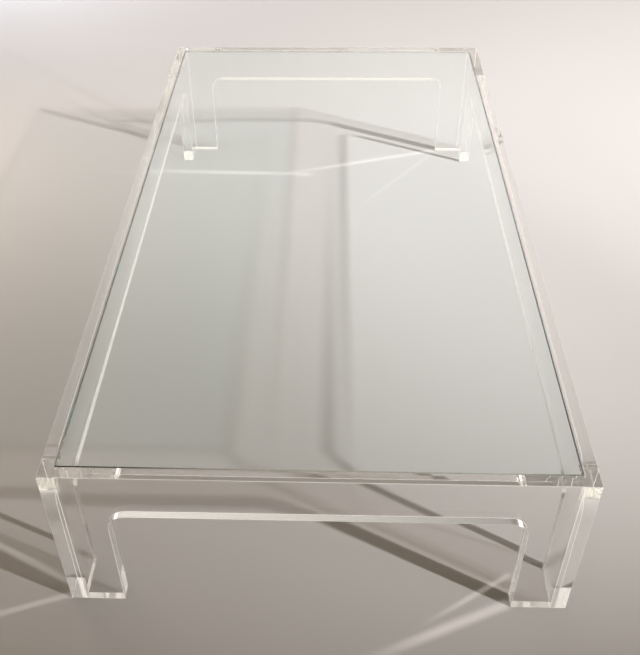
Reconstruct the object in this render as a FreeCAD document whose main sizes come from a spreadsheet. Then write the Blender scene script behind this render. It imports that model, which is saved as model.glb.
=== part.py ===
# Low coffee table of four clear acrylic panels with a loose glass pane set flush in the top.
# +Z is up and +Y runs along the table. The origin is at the middle of the footprint, on the floor.
import FreeCAD, Part
import Sketcher
import os

SIZES = {
    # Outside of the table
    "table_length": "1524",
    "table_width": "812.8",
    "table_height": "304.8",
    # Acrylic panels, each with one arched cut-out between its two legs
    "panel_thickness": "25.4",
    "apron_height": "88.9",
    "side_leg_width": "88.9",
    "end_leg_width": "88.9",
    "arch_radius": "28.6",
    # Rabbet along the top of the panels' inner faces, as deep as the glass that lies in it
    "rabbet_width": "4.8",
    # Loose glass pane with ground edges, which drops in with a clearance all round
    "glass_thickness": "10",
    "glass_clearance": "1.6",
    "glass_arris": "0.8",
}

doc = FreeCAD.newDocument("coffee_table")
sheet = doc.addObject("Spreadsheet::Sheet", "Sizes")
for row, (alias, value) in enumerate(SIZES.items(), start=1):
    sheet.set(f"A{row}", alias)
    sheet.set(f"B{row}", value)
    sheet.setAlias(f"B{row}", alias)
doc.recompute()

# Sizes that several pieces share, worked out from the sheet
INNER_LENGTH = "(Sizes.table_length - 2 * Sizes.panel_thickness)"
INNER_WIDTH = "(Sizes.table_width - 2 * Sizes.panel_thickness)"
ARCH_HEIGHT = "(Sizes.table_height - Sizes.apron_height)"
SHELF_HEIGHT = "(Sizes.table_height - Sizes.glass_thickness)"

# A sketch's own numbers: the two ends of a line, and the horizontal axis, which starts at the origin
START, END = 1, 2
FLOOR_LINE = -1

# Sine of the angle under which two edges count as parallel
PARALLEL_SHARE = 0.01

nodes = []


def place(piece, x, y, z):
    for axis, expression in (("x", x), ("y", y), ("z", z)):
        piece.setExpression(f"Placement.Base.{axis}", expression)


def standing_rectangle(body, name, plane_role, width, height):
    """Sketch of a rectangle on the floor line of an upright plane, centred on the plane's vertical axis."""
    sketch = body.newObject("Sketcher::SketchObject", name)
    plane = next(feature for feature in body.Origin.OriginFeatures if feature.Role == plane_role)
    sketch.AttachmentSupport = [(plane, "")]
    sketch.MapMode = "FlatFace"
    corners = [FreeCAD.Vector(across, up, 0) for across, up in ((-1, 0), (1, 0), (1, 1), (-1, 1))]
    for start, end in zip(corners, corners[1:] + corners[:1]):
        sketch.addGeometry(Part.LineSegment(start, end))
    bottom, right, top, left = range(4)
    for line, following in ((bottom, right), (right, top), (top, left), (left, bottom)):
        sketch.addConstraint(Sketcher.Constraint("Coincident", line, END, following, START))
    sketch.addConstraint(Sketcher.Constraint("Vertical", right))
    sketch.addConstraint(Sketcher.Constraint("Vertical", left))
    sketch.addConstraint(Sketcher.Constraint("Horizontal", top))
    sketch.addConstraint(Sketcher.Constraint("PointOnObject", bottom, START, FLOOR_LINE))
    sketch.addConstraint(Sketcher.Constraint("Symmetric", bottom, START, bottom, END, FLOOR_LINE, START))
    span = sketch.addConstraint(Sketcher.Constraint("DistanceX", bottom, START, bottom, END, 1))
    rise = sketch.addConstraint(Sketcher.Constraint("DistanceY", right, START, right, END, 1))
    sketch.setExpression(f"Constraints[{span}]", width)
    sketch.setExpression(f"Constraints[{rise}]", height)
    return sketch


def arched_panel(label, plane_role, width, opening, rabbet, x, y):
    """Panel cut from thick sheet, with an opening up from the floor whose two top corners are rounded.

    The rabbet's size and near corner along X and Y are given in the panel's own frame.
    """
    body = doc.addObject("PartDesign::Body", label)
    outline = standing_rectangle(body, f"{label}_outline", plane_role, width, "Sizes.table_height")
    pad = body.newObject("PartDesign::Pad", f"{label}_sheet")
    pad.Profile = outline
    pad.setExpression("Length", "Sizes.panel_thickness")

    pocket = body.newObject("PartDesign::Pocket", f"{label}_arch")
    pocket.Profile = standing_rectangle(body, f"{label}_opening", plane_role, opening, ARCH_HEIGHT)
    pocket.Type = "ThroughAll"
    pocket.Reversed = True
    doc.recompute()
    if not pocket.Shape.Volume < pad.Shape.Volume:
        raise RuntimeError(f"{label}: the arch cuts nothing")

    # The arch's corners are the edges straight through the sheet near the arch's top
    through_sheet = outline.Placement.Rotation.multVec(FreeCAD.Vector(0, 0, 1))
    arch_top = sheet.table_height - sheet.apron_height
    corners = [
        f"Edge{number}"
        for number, edge in enumerate(pocket.Shape.Edges, start=1)
        if edge.tangentAt(edge.FirstParameter).cross(through_sheet).Length < PARALLEL_SHARE
        and arch_top / 2 < edge.CenterOfMass.z < (arch_top + sheet.table_height) / 2
    ]
    fillet = body.newObject("PartDesign::Fillet", f"{label}_corners")
    fillet.Base = (pocket, corners)
    fillet.setExpression("Radius", "Sizes.arch_radius")
    doc.recompute()

    along_x, along_y, from_x, from_y = rabbet
    step = body.newObject("PartDesign::SubtractiveBox", f"{label}_rabbet")
    step.setExpression("Length", along_x)
    step.setExpression("Width", along_y)
    step.setExpression("Height", "Sizes.glass_thickness")
    place(step, from_x, from_y, SHELF_HEIGHT)
    doc.recompute()
    if not step.Shape.Volume < fillet.Shape.Volume:
        raise RuntimeError(f"{label}: the rabbet cuts nothing")
    place(body, x, y, "0")
    nodes.append(body)


# Inner faces of the four panels, and the table's left side and back end
LEFT_FACE = f"-{INNER_WIDTH} / 2"
RIGHT_FACE = f"{INNER_WIDTH} / 2"
FRONT_FACE = f"-{INNER_LENGTH} / 2"
BACK_FACE = f"{INNER_LENGTH} / 2"
LEFT_SIDE = "-Sizes.table_width / 2"
BACK_END = "Sizes.table_length / 2"

# Side panels run the full length of the table, with their thickness towards +X. Their rabbets stop short of
# the ends, in line with those of the end panels.
SIDE_LENGTH = "Sizes.table_length"
SIDE_OPENING = f"{SIDE_LENGTH} - 2 * Sizes.side_leg_width"
STOPPED = f"({INNER_LENGTH} + 2 * Sizes.rabbet_width)"
left_rabbet = ("Sizes.rabbet_width", STOPPED, "Sizes.panel_thickness - Sizes.rabbet_width", f"-{STOPPED} / 2")
right_rabbet = ("Sizes.rabbet_width", STOPPED, "0", f"-{STOPPED} / 2")
arched_panel("side_panel_left", "YZ_Plane", SIDE_LENGTH, SIDE_OPENING, left_rabbet, LEFT_SIDE, "0")
arched_panel("side_panel_right", "YZ_Plane", SIDE_LENGTH, SIDE_OPENING, right_rabbet, RIGHT_FACE, "0")

# End panels are butted between the side panels, flush with their ends, with their thickness towards -Y. Their
# rabbets run right through.
END_OPENING = "Sizes.table_width - 2 * Sizes.end_leg_width"
front_rabbet = (INNER_WIDTH, "Sizes.rabbet_width", f"-{INNER_WIDTH} / 2", "-Sizes.rabbet_width")
back_rabbet = (INNER_WIDTH, "Sizes.rabbet_width", f"-{INNER_WIDTH} / 2", "-Sizes.panel_thickness")
arched_panel("end_panel_front", "XZ_Plane", INNER_WIDTH, END_OPENING, front_rabbet, "0", FRONT_FACE)
arched_panel("end_panel_back", "XZ_Plane", INNER_WIDTH, END_OPENING, back_rabbet, "0", BACK_END)

# Glass pane, dropped into the rabbets with its top flush with the panels
GLASS_LENGTH = f"({STOPPED} - 2 * Sizes.glass_clearance)"
GLASS_WIDTH = f"({INNER_WIDTH} + 2 * Sizes.rabbet_width - 2 * Sizes.glass_clearance)"
glass = doc.addObject("PartDesign::Body", "glass_pane")
pane = glass.newObject("PartDesign::AdditiveBox", "glass_sheet")
pane.setExpression("Length", GLASS_WIDTH)
pane.setExpression("Width", GLASS_LENGTH)
pane.setExpression("Height", "Sizes.glass_thickness")
doc.recompute()
arris = glass.newObject("PartDesign::Chamfer", "glass_ground_edges")
arris.Base = (pane, [f"Edge{number}" for number in range(1, len(pane.Shape.Edges) + 1)])
arris.setExpression("Size", "Sizes.glass_arris")
place(glass, f"-{GLASS_WIDTH} / 2", f"-{GLASS_LENGTH} / 2", SHELF_HEIGHT)
nodes.append(glass)

doc.recompute()
for item in doc.Objects:
    if {"Invalid", "Error"} & set(item.State):
        raise RuntimeError(f"{item.Label} failed: {item.State}")
for node in nodes:
    if node.Shape.isNull() or not node.Shape.isValid():
        raise RuntimeError(f"{node.Label} has no valid solid")

os.makedirs("parts", exist_ok=True)
for node in nodes:
    node.Shape.exportStep(f"parts/{node.Label}.step")
    print(f"{node.Label}: {node.Shape.BoundBox}, {node.Shape.Volume:.0f} mm3")
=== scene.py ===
from math import radians

import bmesh
import bpy
from mathutils import Matrix, Vector


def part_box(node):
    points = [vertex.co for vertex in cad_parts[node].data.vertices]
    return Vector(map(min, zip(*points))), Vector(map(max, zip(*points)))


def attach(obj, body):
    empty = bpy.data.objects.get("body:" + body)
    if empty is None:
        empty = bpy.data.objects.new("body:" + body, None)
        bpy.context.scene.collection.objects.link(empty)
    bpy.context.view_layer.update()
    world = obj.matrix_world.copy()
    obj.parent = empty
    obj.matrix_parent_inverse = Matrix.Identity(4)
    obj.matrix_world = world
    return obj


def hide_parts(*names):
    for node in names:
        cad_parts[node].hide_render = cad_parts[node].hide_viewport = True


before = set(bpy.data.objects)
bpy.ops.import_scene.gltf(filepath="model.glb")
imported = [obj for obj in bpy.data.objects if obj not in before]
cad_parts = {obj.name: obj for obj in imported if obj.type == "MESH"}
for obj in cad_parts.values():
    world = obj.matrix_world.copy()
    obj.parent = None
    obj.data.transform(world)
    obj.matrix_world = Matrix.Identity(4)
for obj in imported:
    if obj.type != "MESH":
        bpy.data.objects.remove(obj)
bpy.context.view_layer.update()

scene = bpy.context.scene

# ---------------------------------------------------------------------------------------------------------
# Side panels: two 25.4 mm sheets of clear cast acrylic that run the whole length of the table.
# Each is sawn and routed with one wide arch that leaves two legs, and its cut edges are flame polished.
# They stand on edge with a rabbet along the top inside, and the end panels are cemented between them.
LEG_WIDTH = 0.0889
APRON_HEIGHT = 0.0889
ARCH_CORNER = 0.0286
RABBET_WIDTH, RABBET_DEPTH = 0.0048, 0.010
EASED_EDGE = 0.0004  # what the scraper takes off the sharp edges
SHARP = radians(30)  # edges that turn by more than this are eased
CLOSE = 0.001  # a spot as close as this to a face counts as on it
low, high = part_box("side_panel_left")
SHEET, TOP = high.x - low.x, high.z
JOINT, END_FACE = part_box("side_panel_right")[0].x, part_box("end_panel_back")[0].y  # the panels' inner faces
STOPPED = 2 * (END_FACE + RABBET_WIDTH)  # the side rabbets stop in line with the end panels' own


def colour(hex_code):
    """An sRGB hex code as linear red, green, blue and alpha."""
    parts = [int(hex_code[i:i + 2], 16) / 255 for i in (1, 3, 5)]
    return [c / 12.92 if c <= 0.04045 else ((c + 0.055) / 1.055) ** 2.4 for c in parts] + [1.0]


def bare_tree(owner):
    """The node tree of a material, a lamp or the room, emptied."""
    owner.use_nodes = True
    owner.node_tree.nodes.clear()
    return owner.node_tree


def wire(tree, kind, feeds=None, **settings):
    """Adds a node with its settings, and gives each input a value or the output that feeds it."""
    made = tree.nodes.new(kind)
    for name, value in settings.items():
        setattr(made, name, value)
    for socket, feed in (feeds or {}).items():
        if isinstance(feed, bpy.types.NodeSocket):
            tree.links.new(feed, made.inputs[socket])
        else:
            made.inputs[socket].default_value = feed
    return made


def lamps_pass(tree, looks, past_face, past_edge):
    """A clear piece's surface. Lamps shine straight through its faces, while its cut edges turn their light
    aside and leave a dark line. The two colours say what is left of the light past a face and an edge."""
    turns_light = wire(tree, "ShaderNodeAttribute", attribute_name="turns_light").outputs["Fac"]
    shade = wire(tree, "ShaderNodeMix", {"Factor": turns_light, 6: colour(past_face), 7: colour(past_edge)},
                 data_type="RGBA", clamp_factor=False)
    through = wire(tree, "ShaderNodeBsdfTransparent", {"Color": shade.outputs[2]})
    rays = wire(tree, "ShaderNodeLightPath").outputs
    lamp = wire(tree, "ShaderNodeMath", {0: rays["Is Shadow Ray"], 1: rays["Is Diffuse Ray"]},
                operation="MAXIMUM")
    return wire(tree, "ShaderNodeMixShader", {0: lamp.outputs[0], 1: looks.outputs[0], 2: through.outputs[0]})


# Cast acrylic, 25 mm thick: water clear, with a trace of straw yellow over long paths. The sheet's faces are
# dead flat. The flame-polished edges keep soft ripples, which break up what they mirror into glints.
RIPPLE_LENGTH, RIPPLE_DEPTH = 0.020, 0.00015
SAW_PITCH, SAW_SHARE = 0.004, 0.12  # what the flame left of the saw marks, drawn coarse so that it shows
SMEAR_FROM, SMEAR_TO, SMEARED = 0.55, 0.80, 0.03  # crests of the ripples, smeared to this roughness
# The milky skin's colour, and the strength of the painted glow that it gives off
MILK, GLOW_PAINTED_IN = "#FAF9F6", 0.50
acrylic = bpy.data.materials.new("cast_acrylic_flame_polished")
acrylic.cycles.emission_sampling = "NONE"
tree = bare_tree(acrylic)
place = wire(tree, "ShaderNodeTexCoord").outputs["Object"]
cut_edge = wire(tree, "ShaderNodeAttribute", attribute_name="cut_edge").outputs["Fac"]
ripple = wire(tree, "ShaderNodeTexNoise", {"Vector": place, "Scale": 1 / RIPPLE_LENGTH, "Detail": 2.0})
saw = wire(tree, "ShaderNodeTexNoise", {"Vector": place, "Scale": 1 / SAW_PITCH, "Detail": 1.0})
waves = wire(tree, "ShaderNodeMath", {0: saw.outputs["Fac"], 1: SAW_SHARE, 2: ripple.outputs["Fac"]},
             operation="MULTIPLY_ADD")
on_edges = wire(tree, "ShaderNodeMath", {0: waves.outputs[0], 1: cut_edge}, operation="MULTIPLY")
bump = wire(tree, "ShaderNodeBump", {
    "Height": on_edges.outputs[0], "Distance": RIPPLE_DEPTH, "Strength": 1.0})
smear = wire(tree, "ShaderNodeMapRange", {"Value": ripple.outputs["Fac"], "From Min": SMEAR_FROM,
                                          "From Max": SMEAR_TO, "To Min": 0.0, "To Max": SMEARED})
sheet = wire(tree, "ShaderNodeBsdfPrincipled", {
    "Base Color": colour("#FFFFFF"), "Transmission Weight": 1.0, "IOR": 1.49, "Roughness": smear.outputs[0],
    "Normal": bump.outputs[0]})
# The scraper and the sandpaper leave a thin milky skin, which scatters light to both sides. The skin also glows:
# painted light, an emission that stands in for the light that runs trapped inside the sheet and comes out there
haze_and_glow = wire(tree, "ShaderNodeAttribute", attribute_name="haze_and_glow").outputs["Fac"]
near_side = wire(tree, "ShaderNodeBsdfDiffuse", {"Color": colour(MILK)})
far_side = wire(tree, "ShaderNodeBsdfTranslucent", {"Color": colour(MILK)})
milky = wire(tree, "ShaderNodeMixShader", {0: 0.5, 1: near_side.outputs[0], 2: far_side.outputs[0]})
painted_glow = wire(tree, "ShaderNodeEmission", {"Color": colour("#FFFAF2"), "Strength": GLOW_PAINTED_IN})
milky = wire(tree, "ShaderNodeAddShader", {0: milky.outputs[0], 1: painted_glow.outputs[0]})
looks = wire(tree, "ShaderNodeMixShader", {0: haze_and_glow, 1: sheet.outputs[0], 2: milky.outputs[0]})
surface = lamps_pass(tree, looks, "#F7F6F5", "#2E2C29")
body = wire(tree, "ShaderNodeVolumeAbsorption", {"Color": colour("#FDFBEF"), "Density": 0.6})
wire(tree, "ShaderNodeOutputMaterial", {"Surface": surface.outputs[0], "Volume": body.outputs[0]})

# The panel's rule: eight corners of a sheet with an opening up from the floor, the opening's top corners
# rounded, the outline filled and given the sheet's thickness, and the rabbet routed out of it.
ARC_STEPS = 24
rule = bpy.data.node_groups.new("arched_panel", "GeometryNodeTree")
rule_inputs = {}
for name, kind in (("Length", "Float"), ("Height", "Float"), ("Thickness", "Float"), ("Leg width", "Float"),
                   ("Apron height", "Float"), ("Corner radius", "Float"), ("Rabbet size", "Vector"),
                   ("Rabbet middle", "Vector"), ("Middle", "Vector"), ("Turn", "Vector"),
                   ("Ends clearer", "Float"), ("Material", "Material")):
    socket = rule.interface.new_socket(name, in_out="INPUT", socket_type="NodeSocket" + kind)
    rule_inputs[name] = socket.identifier
rule.interface.new_socket("Panel", in_out="OUTPUT", socket_type="NodeSocketGeometry")
given = wire(rule, "NodeGroupInput").outputs
half = wire(rule, "ShaderNodeMath", {0: given["Length"], 1: 0.5}, operation="MULTIPLY").outputs[0]
reach = wire(rule, "ShaderNodeMath", {0: half, 1: given["Leg width"]}, operation="SUBTRACT").outputs[0]
crown = wire(rule, "ShaderNodeMath", {0: given["Height"], 1: given["Apron height"]},
             operation="SUBTRACT").outputs[0]
left = wire(rule, "ShaderNodeMath", {0: half, 1: -1.0}, operation="MULTIPLY").outputs[0]
left_reach = wire(rule, "ShaderNodeMath", {0: reach, 1: -1.0}, operation="MULTIPLY").outputs[0]
sawn = ((left, 0.0), (left_reach, 0.0), (left_reach, crown), (reach, crown),
        (reach, 0.0), (half, 0.0), (half, given["Height"]), (left, given["Height"]))
number = wire(rule, "GeometryNodeInputIndex").outputs[0]
corners = wire(rule, "GeometryNodeIndexSwitch", {"Index": number}, data_type="VECTOR")
while len(corners.index_switch_items) < len(sawn):
    corners.index_switch_items.new()
for i, (across, up) in enumerate(sawn):
    corner = wire(rule, "ShaderNodeCombineXYZ", {"X": across, "Y": up})
    rule.links.new(corner.outputs[0], corners.inputs[1 + i])
line = wire(rule, "GeometryNodeMeshLine", {"Count": len(sawn)})
outline = wire(rule, "GeometryNodeSetPosition", {"Geometry": line.outputs[0], "Position": corners.outputs[0]})
loop = wire(rule, "GeometryNodeMeshToCurve", {"Mesh": outline.outputs[0]})
closed = wire(rule, "GeometryNodeSetSplineCyclic", {"Geometry": loop.outputs[0], "Cyclic": True})
# Of the corners counted from 0, numbers 2 and 3 are the arch's
is_crown = wire(rule, "FunctionNodeCompare", {"A": number, "B": 2.5, "Epsilon": 0.6},
                data_type="FLOAT", operation="EQUAL")
rounding = wire(rule, "ShaderNodeMath", {0: is_crown.outputs[0], 1: given["Corner radius"]},
                operation="MULTIPLY")
rounded = wire(rule, "GeometryNodeFilletCurve", {
    "Curve": closed.outputs[0], "Count": ARC_STEPS, "Radius": rounding.outputs[0]}, mode="POLY")
flat = wire(rule, "GeometryNodeFillCurve", {"Curve": rounded.outputs[0]}, mode="NGONS")
thick = wire(rule, "GeometryNodeExtrudeMesh", {
    "Mesh": flat.outputs[0], "Offset Scale": given["Thickness"], "Individual": False}, mode="FACES")

# The cut faces are marked for the material, and with how much of the lamps' light each turns aside. A leg's
# upright edges turn all of it, the top and the arch less, and the ends of a panel as little as given.
TOP_CLEARER, ARCH_CLEARER = 0.90, 0.50
spot = wire(rule, "ShaderNodeSeparateXYZ", {0: wire(rule, "GeometryNodeInputPosition").outputs[0]}).outputs
outward = wire(rule, "ShaderNodeMath", {0: spot["X"]}, operation="ABSOLUTE").outputs[0]
off_floor = wire(rule, "FunctionNodeCompare", {"A": spot["Y"], "B": CLOSE},
                 data_type="FLOAT", operation="GREATER_THAN")
is_cut = wire(rule, "FunctionNodeBooleanMath", {0: thick.outputs["Side"], 1: off_floor.outputs[0]},
              operation="AND")
marked = wire(rule, "GeometryNodeStoreNamedAttribute", {
    "Geometry": thick.outputs["Mesh"], "Name": "cut_edge", "Value": is_cut.outputs[0]},
    data_type="FLOAT", domain="FACE")
is_top = wire(rule, "FunctionNodeCompare", {"A": spot["Y"], "B": given["Height"], "Epsilon": CLOSE},
              data_type="FLOAT", operation="EQUAL")
bend = wire(rule, "ShaderNodeMath", {0: given["Corner radius"], 1: -0.5, 2: crown}, operation="MULTIPLY_ADD")
bend_half = wire(rule, "ShaderNodeMath", {0: given["Corner radius"], 1: 0.5, 2: CLOSE},
                 operation="MULTIPLY_ADD")
is_arch = wire(rule, "FunctionNodeCompare", {"A": spot["Y"], "B": bend.outputs[0],
                                             "Epsilon": bend_half.outputs[0]},
               data_type="FLOAT", operation="EQUAL")
is_end = wire(rule, "FunctionNodeCompare", {"A": outward, "B": half, "Epsilon": CLOSE},
              data_type="FLOAT", operation="EQUAL")
turned = wire(rule, "ShaderNodeMath", {0: is_top.outputs[0], 1: -TOP_CLEARER, 2: 1.0},
              operation="MULTIPLY_ADD")
turned = wire(rule, "ShaderNodeMath", {0: is_arch.outputs[0], 1: -ARCH_CLEARER, 2: turned.outputs[0]},
              operation="MULTIPLY_ADD")
past_end = wire(rule, "ShaderNodeMath", {0: is_end.outputs[0], 1: given["Ends clearer"]},
                operation="MULTIPLY")
turned = wire(rule, "ShaderNodeMath", {0: turned.outputs[0], 1: past_end.outputs[0]}, operation="SUBTRACT")
dark = wire(rule, "ShaderNodeMath", {0: is_cut.outputs[0], 1: turned.outputs[0]}, operation="MULTIPLY")
shaded = wire(rule, "GeometryNodeStoreNamedAttribute", {
    "Geometry": marked.outputs[0], "Name": "turns_light", "Value": dark.outputs[0]},
    data_type="FLOAT", domain="FACE")

# The second face closes the sheet, the router cuts the rabbet, and the panel is stood in its place
WELD = 0.00001
back = wire(rule, "GeometryNodeFlipFaces", {"Mesh": flat.outputs[0]})
faces = wire(rule, "GeometryNodeJoinGeometry")
rule.links.new(shaded.outputs[0], faces.inputs[0])
rule.links.new(back.outputs[0], faces.inputs[0])
welded = wire(rule, "GeometryNodeMergeByDistance", {"Geometry": faces.outputs[0], "Distance": WELD})
centre = wire(rule, "ShaderNodeMath", {0: given["Thickness"], 1: -0.5}, operation="MULTIPLY")
shift = wire(rule, "ShaderNodeCombineXYZ", {"Z": centre.outputs[0]})
centred = wire(rule, "GeometryNodeTransform", {
    "Geometry": welded.outputs[0], "Translation": shift.outputs[0]})
router = wire(rule, "GeometryNodeMeshCube", {"Size": given["Rabbet size"]})
routed = wire(rule, "GeometryNodeTransform", {
    "Geometry": router.outputs[0], "Translation": given["Rabbet middle"]})
stepped = wire(rule, "GeometryNodeMeshBoolean", {"Mesh 1": centred.outputs[0]},
               operation="DIFFERENCE", solver="EXACT")
rule.links.new(routed.outputs[0], stepped.inputs["Mesh 2"])
stood = wire(rule, "GeometryNodeTransform", {
    "Geometry": stepped.outputs[0], "Translation": given["Middle"], "Rotation": given["Turn"]})

# Feet on the right keep light off the floor under them, and feet on the left, where the light that has run
# down their legs comes out, pass on more than falls on them
FOOT_TURNS, FOOT_LEANS = 0.05, 1.4
on_floor = wire(rule, "FunctionNodeCompare", {"A": spot["Z"], "B": CLOSE / 2},
                data_type="FLOAT", operation="LESS_THAN")
gathers = wire(rule, "ShaderNodeMath", {0: spot["X"], 1: FOOT_LEANS, 2: FOOT_TURNS}, operation="MULTIPLY_ADD")
footed = wire(rule, "GeometryNodeStoreNamedAttribute", {
    "Geometry": stood.outputs[0], "Selection": on_floor.outputs[0], "Name": "turns_light",
    "Value": gathers.outputs[0]}, data_type="FLOAT", domain="FACE")
plain = wire(rule, "GeometryNodeRealizeInstances", {"Geometry": footed.outputs[0]})
dressed = wire(rule, "GeometryNodeSetMaterial", {"Geometry": plain.outputs[0], "Material": given["Material"]})
wire(rule, "NodeGroupOutput", {0: dressed.outputs[0]})


def put(name, data):
    """A new object in the scene."""
    made = bpy.data.objects.new(name, data)
    scene.collection.objects.link(made)
    return made


def in_joint(spot):
    """Whether a spot lies in a cemented joint, where nothing is eased and the cement fills the saw marks."""
    return abs(abs(spot.x) - JOINT) < CLOSE and END_FACE - CLOSE < abs(spot.y) < END_FACE + SHEET - CLOSE


def at_rabbet(spot):
    """Whether a spot lies on the rabbet, which the glass covers."""
    return (abs(spot.x) < JOINT + RABBET_WIDTH + CLOSE and abs(spot.y) < END_FACE + RABBET_WIDTH + CLOSE
            and spot.z > TOP - RABBET_DEPTH - CLOSE)


# Milky share of the tops and arches, the legs' edges, the feet, and the edges that the scraper eased. The same
# share glows with painted light, brightest on the eased edges
CUT_HAZE, LEG_HAZE, FOOT_HAZE, SCRAPED_HAZE = 0.012, 0.05, 0.15, 0.80
# The left corners trap the lamps' light, and the left legs' lit edges let more than half of it in
CORNER_TURNS, LIT_LEG_TURNS = 0.9, 0.4
# Faces are told by their normals: eased ones lie aslant to the sheet, a leg's stand upright, lit ones face right
ASLANT, SQUARE, UPRIGHT, LIT = 0.1, 0.99, 0.02, 0.9
SMALL_FACE = ARCH_CORNER * SHEET * 0.1  # steps of the rounded corners and eased edges, which shade smoothly


def arched_panel(name, node, overlap, turn, inner, rabbet, ends_clearer):
    """A panel by the rule, to the size of its CAD node, with a rabbet of the given length inside."""
    low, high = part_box(node)
    size = high - low
    middle = (low + high) / 2
    is_side = size.y > size.x
    leg = LEG_WIDTH if is_side else LEG_WIDTH - SHEET
    blank = put(name + "_blank", bpy.data.meshes.new(name + "_blank"))
    cutting = blank.modifiers.new("arched_panel", "NODES")
    cutting.node_group = rule
    for key, value in (("Length", max(size.x, size.y) + 2 * overlap), ("Height", size.z),
                       ("Thickness", min(size.x, size.y)), ("Leg width", leg + overlap),
                       ("Apron height", APRON_HEIGHT), ("Corner radius", ARCH_CORNER),
                       ("Rabbet size", Vector((rabbet, 2 * RABBET_DEPTH, 2 * RABBET_WIDTH))),
                       ("Rabbet middle", Vector((0, size.z, inner * SHEET / 2))),
                       ("Middle", Vector((middle.x, middle.y, low.z))), ("Turn", Vector(turn)),
                       ("Ends clearer", ends_clearer), ("Material", acrylic)):
        cutting[rule_inputs[key]] = value
    finished = blank.evaluated_get(bpy.context.evaluated_depsgraph_get())
    mesh = bpy.data.meshes.new_from_object(finished)
    bpy.data.objects.remove(blank)
    mesh.name = name
    work = bmesh.new()
    work.from_mesh(mesh)
    sharp = [edge for edge in work.edges if edge.calc_face_angle(0.0) > SHARP
             and not in_joint((edge.verts[0].co + edge.verts[1].co) / 2)]
    bmesh.ops.bevel(work, geom=sharp, offset=EASED_EDGE, segments=2, profile=0.5, affect="EDGES")
    work.normal_update()
    haze_and_glow = work.faces.layers.float.new("haze_and_glow")
    cut_edge, turns_light = work.faces.layers.float["cut_edge"], work.faces.layers.float["turns_light"]
    through = 0 if is_side else 1  # the axis through the sheet
    for face in work.faces:
        face.material_index = 0
        face.smooth = face.calc_area() < SMALL_FACE
        middle = face.calc_center_median()
        if in_joint(middle):
            face[cut_edge] = 0.0
            face[turns_light] = CORNER_TURNS if middle.x < 0 else 0.0
        # The milky share also sets how much painted glow a face gives off
        elif ASLANT < abs(face.normal[through]) < SQUARE:
            face[haze_and_glow] = CUT_HAZE if at_rabbet(middle) else SCRAPED_HAZE
        elif middle.z < CLOSE / 2:
            face[haze_and_glow] = FOOT_HAZE
        elif face[cut_edge]:
            face[haze_and_glow] = LEG_HAZE if abs(face.normal.z) < UPRIGHT else CUT_HAZE
            if face.normal.x > LIT and middle.x < 0:
                face[turns_light] *= LIT_LEG_TURNS
    work.to_mesh(mesh)
    work.free()
    mesh.materials.clear()  # the rule leaves an empty slot before the acrylic's
    mesh.materials.append(acrylic)
    mesh.set_sharp_from_angle(angle=radians(10))
    panel = put(name, mesh)
    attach(panel, "frame")
    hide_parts(node)


for side, inner, ends_clearer in (("left", 1, 0.0), ("right", -1, 0.8)):
    arched_panel("acrylic_side_" + side, "side_panel_" + side, overlap=0.0,
                 turn=(radians(90), 0, radians(90)), inner=inner, rabbet=STOPPED, ends_clearer=ends_clearer)

# ---------------------------------------------------------------------------------------------------------
# End panels: the same sheet and the same arch, cut to fit between the side panels. Their square ends are
# cemented to the inner faces of the side panels, flush at the top and the outside, so a hairline shows there.
CEMENT_OVERLAP = 0.00002  # cemented faces sink into each other by this, so that the joint shows clear
ALL_ALONG = 1.0  # a router run of this length leaves the panel at both ends
for end, inner in (("front", -1), ("back", 1)):
    arched_panel("acrylic_end_" + end, "end_panel_" + end, overlap=CEMENT_OVERLAP,
                 turn=(radians(90), 0, 0), inner=inner, rabbet=ALL_ALONG, ends_clearer=1.0)

# ---------------------------------------------------------------------------------------------------------
# Top: one loose pane of 10 mm clear float glass, which lies dry in the rabbet, flush with the panels. It is
# cut a little under the opening so that it drops in. Its edges are ground straight and polished, with a
# small arris.
GLASS_ARRIS = 0.0008
DRY_GAP = 0.0001  # air under the pane, which keeps the rabbet's shelf apart from it to the eye

# Clear float glass: iron in it takes out red, so it looks grey green through the face and almost black through
# the edge, where the light has come the length of the pane. The edges are drawn opaque: their dark colour is
# partly that green and partly painted shade of the narrow gap in the rabbet, with painted light on parts of
# them. Its faces are fire smooth and flat.
GRIND_PITCH, GRIND_DEPTH, GRIND_ROUGH = 0.0015, 0.00001, 0.15  # the pitch is drawn coarse so that it shows
glass = bpy.data.materials.new("clear_float_glass_polished_edge")
tree = bare_tree(glass)
place = wire(tree, "ShaderNodeTexCoord").outputs["Object"]
cut_edge = wire(tree, "ShaderNodeAttribute", attribute_name="cut_edge").outputs["Fac"]
grind = wire(tree, "ShaderNodeTexNoise", {"Vector": place, "Scale": 1 / GRIND_PITCH, "Detail": 1.0})
on_edges = wire(tree, "ShaderNodeMath", {0: grind.outputs["Fac"], 1: cut_edge}, operation="MULTIPLY")
bump = wire(tree, "ShaderNodeBump", {"Height": on_edges.outputs[0], "Distance": GRIND_DEPTH, "Strength": 1.0})
polish = wire(tree, "ShaderNodeMapRange", {
    "Value": on_edges.outputs[0], "To Min": 0.0, "To Max": GRIND_ROUGH})
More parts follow.
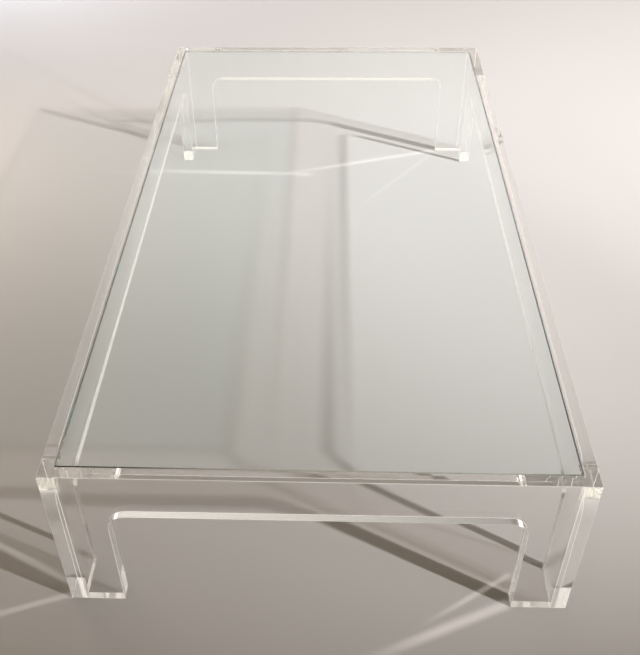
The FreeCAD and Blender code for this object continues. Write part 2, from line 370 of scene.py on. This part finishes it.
# Painted light and shade on the edges: a pale grey where an edge would take light, green black in shade
edge_painted_light = wire(tree, "ShaderNodeAttribute", attribute_name="edge_painted_light").outputs["Fac"]
ground = wire(tree, "ShaderNodeMix", {"Factor": edge_painted_light, 6: colour("#16211C"), 7: colour("#C4C6BB")},
              data_type="RGBA")
tint = wire(tree, "ShaderNodeMix", {"Factor": cut_edge, 6: colour("#FFFFFF"), 7: ground.outputs[2]},
            data_type="RGBA")
face = wire(tree, "ShaderNodeMath", {0: cut_edge, 1: -1.0, 2: 1.0}, operation="MULTIPLY_ADD")
looks = wire(tree, "ShaderNodeBsdfPrincipled", {
    "Base Color": tint.outputs[2], "Transmission Weight": face.outputs[0], "IOR": 1.52,
    "Roughness": polish.outputs[0], "Normal": bump.outputs[0]})
surface = lamps_pass(tree, looks, "#F2F1F0", "#2C3A34")
body = wire(tree, "ShaderNodeVolumeAbsorption", {"Color": colour("#79E6EC"), "Density": 8.0})
wire(tree, "ShaderNodeOutputMaterial", {"Surface": surface.outputs[0], "Volume": body.outputs[0]})

# Painted light and shade on the near edge: painted pale where it would take light from the walls, dark
# elsewhere. How dark it is at each share of its length
NEAR_EDGE_PAINTED_SHADE = ((0.0, 1.0), (0.15, 0.8), (0.3, 0.2), (0.42, 0.05), (0.86, 0.05), (0.93, 0.3), (1.0, 0.5))
LOWER_PAINTED_LIGHT = 0.8  # the lower half of the other edges is painted pale, standing in for light from the rabbet
EDGE_TURNS = 0.1  # share of the lamps' light that a pane's edge turns aside
low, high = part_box("glass_pane")
low.z += DRY_GAP
outline = [(low.x + (high.x - low.x) * along, low.y) for along, _ in NEAR_EDGE_PAINTED_SHADE]
outline += [(high.x, high.y), (low.x, high.y)]
shell = bmesh.new()
under, over = [[shell.verts.new((x, y, z)) for x, y in outline] for z in (low.z, high.z)]
shell.faces.new(under[::-1])
shell.faces.new(over)
for i in range(len(outline)):
    shell.faces.new((under[i - 1], under[i], over[i], over[i - 1]))
shell.normal_update()
sharp = [edge for edge in shell.edges if edge.calc_face_angle(0.0) > SHARP]
bmesh.ops.bevel(shell, geom=sharp, offset=GLASS_ARRIS, segments=1, profile=0.5, affect="EDGES")
shell.normal_update()
turns_light, cut_edge = shell.faces.layers.float.new("turns_light"), shell.faces.layers.float.new("cut_edge")
edge_painted_light = shell.loops.layers.float.new("edge_painted_light")
for face in shell.faces:
    # All edges but the far one, each with its upper arris
    if -0.5 < face.normal.z < 0.9 and face.normal.y < 0.5:
        face[cut_edge], face[turns_light] = 1.0, EDGE_TURNS
        # How pale each corner is painted: dark above, painted light lower down, and along the near edge as
        # listed
        for loop in face.loops:
            spot = loop.vert.co
            loop[edge_painted_light] = 0.0 if spot.z > (low.z + high.z) / 2 else LOWER_PAINTED_LIGHT
            if face.normal.y < -0.5:
                along = (spot.x - low.x) / (high.x - low.x)
                loop[edge_painted_light] = 1.0 - min(NEAR_EDGE_PAINTED_SHADE, key=lambda at: abs(at[0] - along))[1]
mesh = bpy.data.meshes.new("glass_top")
shell.to_mesh(mesh)
shell.free()
mesh.materials.append(glass)
pane = put("glass_top", mesh)
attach(pane, "glass")
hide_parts("glass_pane")

# ---------------------------------------------------------------------------------------------------------
# Floor: a wide sheet of pale seamless background paper, rolled out flat on the studio floor. The table stands
# on it with its bare feet, so it lies a hair below them.
FLOOR_REACH, FLOOR_LEVEL = 30.0, -0.0003
FLOOR_CORNERS = ((-1, -1), (1, -1), (1, 1), (-1, 1))

# Background paper: matt, a warm pale grey, hardly uneven in tone, with a fine tooth of fibres
FIBRE_LENGTH, FIBRE_DEPTH = 0.004, 0.0001  # fibres are drawn coarse so that they show
CLOUD_LENGTH = 0.6
paper = bpy.data.materials.new("seamless_background_paper")
tree = bare_tree(paper)
place = wire(tree, "ShaderNodeTexCoord").outputs["Object"]
fibre = wire(tree, "ShaderNodeTexNoise", {"Vector": place, "Scale": 1 / FIBRE_LENGTH, "Detail": 3.0})
cloud = wire(tree, "ShaderNodeTexNoise", {"Vector": place, "Scale": 1 / CLOUD_LENGTH, "Detail": 2.0})
tone = wire(tree, "ShaderNodeMix", {
    "Factor": cloud.outputs["Fac"], 6: colour("#E0DAD7"), 7: colour("#E4DEDB")}, data_type="RGBA")
tooth = wire(tree, "ShaderNodeBump", {
    "Height": fibre.outputs["Fac"], "Distance": FIBRE_DEPTH, "Strength": 0.4})
matt = wire(tree, "ShaderNodeBsdfPrincipled", {
    "Base Color": tone.outputs[2], "Roughness": 0.9, "Specular IOR Level": 0.1, "Normal": tooth.outputs[0]})
wire(tree, "ShaderNodeOutputMaterial", {"Surface": matt.outputs[0]})
mesh = bpy.data.meshes.new("floor")
spots = [(x * FLOOR_REACH, y * FLOOR_REACH, FLOOR_LEVEL) for x, y in FLOOR_CORNERS]
mesh.from_pydata(spots, [], [(0, 1, 2, 3)])
mesh.materials.append(paper)
floor = put("floor", mesh)

# ---------------------------------------------------------------------------------------------------------
# Light streaks: painted light. Glowing strips laid on the floor stand in for the thin streaks of the lamps'
# light that the panels' corners gather and throw across it. Each starts bright near a leg, is soft to both sides
# and fades out.
PAINTED_STREAK_LEVEL = -0.0001
FULL_BY, FADES_FROM = 0.06, 0.4  # shares of a streak's run
STREAKS = (  # start, end, width and brightness
    ((0.325, -0.751), (0.040, -0.879), 0.030, 0.13), ((0.331, -0.696), (0.150, -0.812), 0.016, 0.10),
    ((-0.395, -0.750), (-0.640, -0.838), 0.020, 0.08), ((-0.405, -0.737), (-0.680, -0.602), 0.022, 0.09),
    ((-0.020, 0.599), (-0.660, 0.617), 0.034, 0.15), ((0.345, 0.747), (-0.200, 0.572), 0.030, 0.16),
    ((0.321, 0.739), (0.040, 0.366), 0.020, 0.06))
# The strips glow with painted light and let everything else straight through
painted_streak_light = bpy.data.materials.new("light_streak")
painted_streak_light.cycles.emission_sampling = "NONE"
tree = bare_tree(painted_streak_light)
run = wire(tree, "ShaderNodeSeparateXYZ", {0: wire(tree, "ShaderNodeUVMap", uv_map="run").outputs[0]}).outputs
starts = wire(tree, "ShaderNodeMapRange", {"Value": run["X"], "From Min": 0.0, "From Max": FULL_BY},
              interpolation_type="SMOOTHSTEP")
fades = wire(tree, "ShaderNodeMapRange", {"Value": run["X"], "From Min": FADES_FROM, "From Max": 1.0,
                                          "To Min": 1.0, "To Max": 0.0}, interpolation_type="SMOOTHSTEP")
side = wire(tree, "ShaderNodeMath", {0: run["Y"], 1: 0.5}, operation="PINGPONG")
soft = wire(tree, "ShaderNodeMapRange", {"Value": side.outputs[0], "From Min": 0.0, "From Max": 0.5},
            interpolation_type="SMOOTHSTEP")
power = wire(tree, "ShaderNodeAttribute", attribute_name="glow").outputs["Fac"]
for share in (starts, fades, soft):
    power = wire(tree, "ShaderNodeMath", {0: power, 1: share.outputs[0]}, operation="MULTIPLY").outputs[0]
shine = wire(tree, "ShaderNodeEmission", {"Color": colour("#FFF8F2"), "Strength": power})
clear = wire(tree, "ShaderNodeBsdfTransparent", {"Color": colour("#FFFFFF")})
looks = wire(tree, "ShaderNodeAddShader", {0: shine.outputs[0], 1: clear.outputs[0]})
wire(tree, "ShaderNodeOutputMaterial", {"Surface": looks.outputs[0]})
strips = bmesh.new()
run, glow = strips.loops.layers.uv.new("run"), strips.faces.layers.float.new("glow")
for start, end, width, bright in STREAKS:
    start, end = Vector(start), Vector(end)
    aside = (end - start).orthogonal().normalized() * width / 2
    corners = (start - aside, end - aside, end + aside, start + aside)
    face = strips.faces.new([strips.verts.new((*corner, PAINTED_STREAK_LEVEL)) for corner in corners])
    face[glow] = bright
    for loop, spot in zip(face.loops, ((0, 0), (1, 0), (1, 1), (0, 1))):
        loop[run].uv = spot
mesh = bpy.data.meshes.new("light_streaks")
strips.to_mesh(mesh)
strips.free()
mesh.materials.append(painted_streak_light)
streaks = put("light_streaks", mesh)

# ---------------------------------------------------------------------------------------------------------
# Lamps: two spot lamps on the right draw the panels' dark lines on the floor, three soft fills without
# shadows lift its left, middle and back, and one shaded lamp high above washes the floor round about.
for name, watts, radius, spot, target, beam in (
        ("near_lamp", 349.0, 0.040, (2.579, -1.939, 1.467), (-0.935, 0.227, 0.0), 34.4),
        ("far_lamp", 13015.0, 0.18, (10.671, -4.402, 6.67), (2.244, 0.713, 0.0), 21.5)):
    bulb = bpy.data.lights.new(name, "SPOT")
    bulb.energy, bulb.shadow_soft_size = watts, radius
    bulb.spot_size, bulb.spot_blend = radians(beam), 1.0
    stand = put(name, bulb)
    stand.location = spot
    stand.rotation_euler = (Vector(spot) - Vector(target)).to_track_quat("Z", "Y").to_euler()
    stand.visible_camera = False
# The far lamp's light on the left side comes round the table, so the left panel throws no shadow in it
shadows = bpy.data.collections.new("shaded_from_far_lamp")
stand.light_linking.blocker_collection = shadows
shadows.objects.link(bpy.data.objects["acrylic_side_left"])
shadows.collection_objects[0].light_linking.link_state = "EXCLUDE"

FILL_RADIUS = 0.3
for name, watts, white, spot in (("left_fill", 25.8, "#FFF5EC", (-1.424, 0.521, 0.9)),
                                 ("middle_fill", 6.2, "#EEF3FF", (0.392, 0.692, 0.9)),
                                 ("back_fill", 43.5, "#E8F1FF", (-1.391, 2.401, 0.9))):
    bulb = bpy.data.lights.new(name, "POINT")
    bulb.energy, bulb.color = watts, colour(white)[:3]
    bulb.shadow_soft_size, bulb.use_shadow = FILL_RADIUS, False
    stand = put(name, bulb)
    stand.location = spot
    stand.visible_camera = stand.visible_glossy = stand.visible_transmission = False

# The high lamp's shade is an ellipse under it, which leaves the table and the floor by it to the other lamps
WASH_WATTS, WASH_RADIUS, WASH_PLACE = 3300.0, 0.05, Vector((1.25, 0.9, 10.0))
SHADED_LENGTH, SHADED_WIDTH, SHADE_BLUR = 3.2, 2.05, 0.35
bulb = bpy.data.lights.new("floor_wash", "POINT")
bulb.energy, bulb.shadow_soft_size = WASH_WATTS, WASH_RADIUS
tree = bare_tree(bulb)
way = wire(tree, "ShaderNodeTexCoord").outputs["Normal"]
down = wire(tree, "ShaderNodeSeparateXYZ", {0: way}).outputs["Z"]
down = wire(tree, "ShaderNodeMath", {0: down}, operation="ABSOLUTE").outputs[0]
shade = Vector((WASH_PLACE.z / SHADED_LENGTH, WASH_PLACE.z / SHADED_WIDTH, 0.0))
plan = wire(tree, "ShaderNodeVectorMath", {0: way, 1: shade}, operation="MULTIPLY")
off = wire(tree, "ShaderNodeVectorMath", {0: plan.outputs[0]}, operation="LENGTH")
off = wire(tree, "ShaderNodeMath", {0: off.outputs["Value"], 1: down}, operation="DIVIDE")
past_shade = wire(tree, "ShaderNodeMapRange", {"Value": off.outputs[0], "From Min": 1.0,
                                               "From Max": 1.0 + SHADE_BLUR}, interpolation_type="SMOOTHSTEP")
even = wire(tree, "ShaderNodeMath", {0: down, 1: -3.0}, operation="POWER")  # as bright far off as below
power = wire(tree, "ShaderNodeMath", {0: past_shade.outputs[0], 1: even.outputs[0]}, operation="MULTIPLY")
glow = wire(tree, "ShaderNodeEmission", {"Color": colour("#FFFAF5"), "Strength": power.outputs[0]})
wire(tree, "ShaderNodeOutputLight", {"Surface": glow.outputs[0]})
stand = put("floor_wash", bulb)
stand.location = WASH_PLACE
stand.visible_camera = stand.visible_glossy = stand.visible_transmission = False

# ---------------------------------------------------------------------------------------------------------
# Walls: pale studio walls all round, for the clear pieces to mirror. They are even low down. Higher up they
# are brighter to the back and the left, with a glow on the far wall, to its right. Two windows at the back
# show only as what the pieces mirror and let through.
LOW_WALL = 0.8
WINDOWS = (((0.72, 0.68, 0.12), 3.5), ((-0.72, 0.68, 0.12), 1.5))  # direction and brightness
FLOOR_FILL = 0.106  # what the walls give the floor
room = bpy.data.worlds.new("pale_studio")
tree = bare_tree(room)
towards = wire(tree, "ShaderNodeTexCoord").outputs["Generated"]
split = wire(tree, "ShaderNodeSeparateXYZ", {0: towards}).outputs
depth = wire(tree, "ShaderNodeMapRange", {"Value": split["Y"], "From Min": -0.6, "From Max": 0.5,
                                          "To Min": 0.27, "To Max": 0.66}, interpolation_type="SMOOTHSTEP")
across = wire(tree, "ShaderNodeMapRange", {"Value": split["X"], "From Min": -0.32, "From Max": 0.45,
                                           "To Min": 1.50, "To Max": 0.42}, interpolation_type="SMOOTHSTEP")
far_wall = wire(tree, "ShaderNodeMapRange", {"Value": split["Y"], "From Min": 0.62, "From Max": 0.90},
                interpolation_type="SMOOTHSTEP")
far_across = wire(tree, "ShaderNodeMapRange", {"Value": split["X"], "From Min": -0.2, "From Max": 0.2,
                                               "To Min": 0.22, "To Max": 0.80},
                  interpolation_type="SMOOTHSTEP")
far_glow = wire(tree, "ShaderNodeMath", {0: far_wall.outputs[0], 1: far_across.outputs[0]},
                operation="MULTIPLY")
bright = wire(tree, "ShaderNodeMath", {0: depth.outputs[0], 1: across.outputs[0], 2: far_glow.outputs[0]},
              operation="MULTIPLY_ADD")
raised = wire(tree, "ShaderNodeMapRange", {"Value": split["Z"], "From Min": 0.25, "From Max": 0.55},
              interpolation_type="SMOOTHSTEP")
bright = wire(tree, "ShaderNodeMix", {0: raised.outputs[0], 2: LOW_WALL, 3: bright.outputs[0]},
              data_type="FLOAT")
rays = wire(tree, "ShaderNodeLightPath").outputs
off_picture = wire(tree, "ShaderNodeMath", {0: 1.0, 1: rays["Is Camera Ray"]}, operation="SUBTRACT")
for direction, glow in WINDOWS:
    facing = wire(tree, "ShaderNodeVectorMath", {0: towards, 1: Vector(direction).normalized()},
                  operation="DOT_PRODUCT")
    window = wire(tree, "ShaderNodeMapRange", {"Value": facing.outputs["Value"], "From Min": 0.975,
                                               "From Max": 0.995, "To Min": 0.0, "To Max": glow},
                  interpolation_type="SMOOTHSTEP")
    bright = wire(tree, "ShaderNodeMath", {0: window.outputs[0], 1: off_picture.outputs[0],
                                           2: bright.outputs[0]}, operation="MULTIPLY_ADD")
walls = wire(tree, "ShaderNodeBackground", {"Color": colour("#FFF3E8"), "Strength": bright.outputs[0]})
fill = wire(tree, "ShaderNodeBackground", {"Color": colour("#FFE3A8"), "Strength": FLOOR_FILL})
shiny = wire(tree, "ShaderNodeMath", {0: rays["Is Glossy Ray"], 1: rays["Is Transmission Ray"]},
             operation="MAXIMUM")
seen = wire(tree, "ShaderNodeMath", {0: shiny.outputs[0], 1: rays["Is Camera Ray"]}, operation="MAXIMUM")
look = wire(tree, "ShaderNodeMixShader", {0: seen.outputs[0], 1: fill.outputs[0], 2: walls.outputs[0]})
wire(tree, "ShaderNodeOutputWorld", {"Surface": look.outputs[0]})
scene.world = room
scene.view_settings.view_transform = "Standard"

# Light crosses the clear sheets many times before it comes out, and the lamps' own goes straight through
CROSSINGS, STRAIGHT_CROSSINGS = 80, 32
scene.cycles.max_bounces = scene.cycles.transmission_bounces = scene.cycles.glossy_bounces = CROSSINGS
scene.cycles.transparent_max_bounces = STRAIGHT_CROSSINGS
scene.cycles.caustics_reflective = scene.cycles.caustics_refractive = False

# ---------------------------------------------------------------------------------------------------------
# Camera: it stands at the near end and looks down along the table, turned a little to the left. The axis of
# its lens meets the picture 20 pixels left of the middle.
PICTURE_HEIGHT, AXIS_LEFT = 655, 20
FOCAL_LENGTH, SENSOR = 49.271, 36
CAMERA_PLACE = (0.0146, -1.5972, 1.3021)
PAN, TILT_DOWN, ROLL = 2.402, 40.239, -0.878
camera_data = bpy.data.cameras.new("camera")
camera_data.lens, camera_data.sensor_width = FOCAL_LENGTH, SENSOR
camera_data.shift_x = AXIS_LEFT / PICTURE_HEIGHT
camera = put("camera", camera_data)
camera.matrix_world = (Matrix.Translation(CAMERA_PLACE) @ Matrix.Rotation(radians(PAN), 4, "Z")
                       @ Matrix.Rotation(radians(90 - TILT_DOWN), 4, "X")
                       @ Matrix.Rotation(radians(ROLL), 4, "Z"))
scene.camera = camera
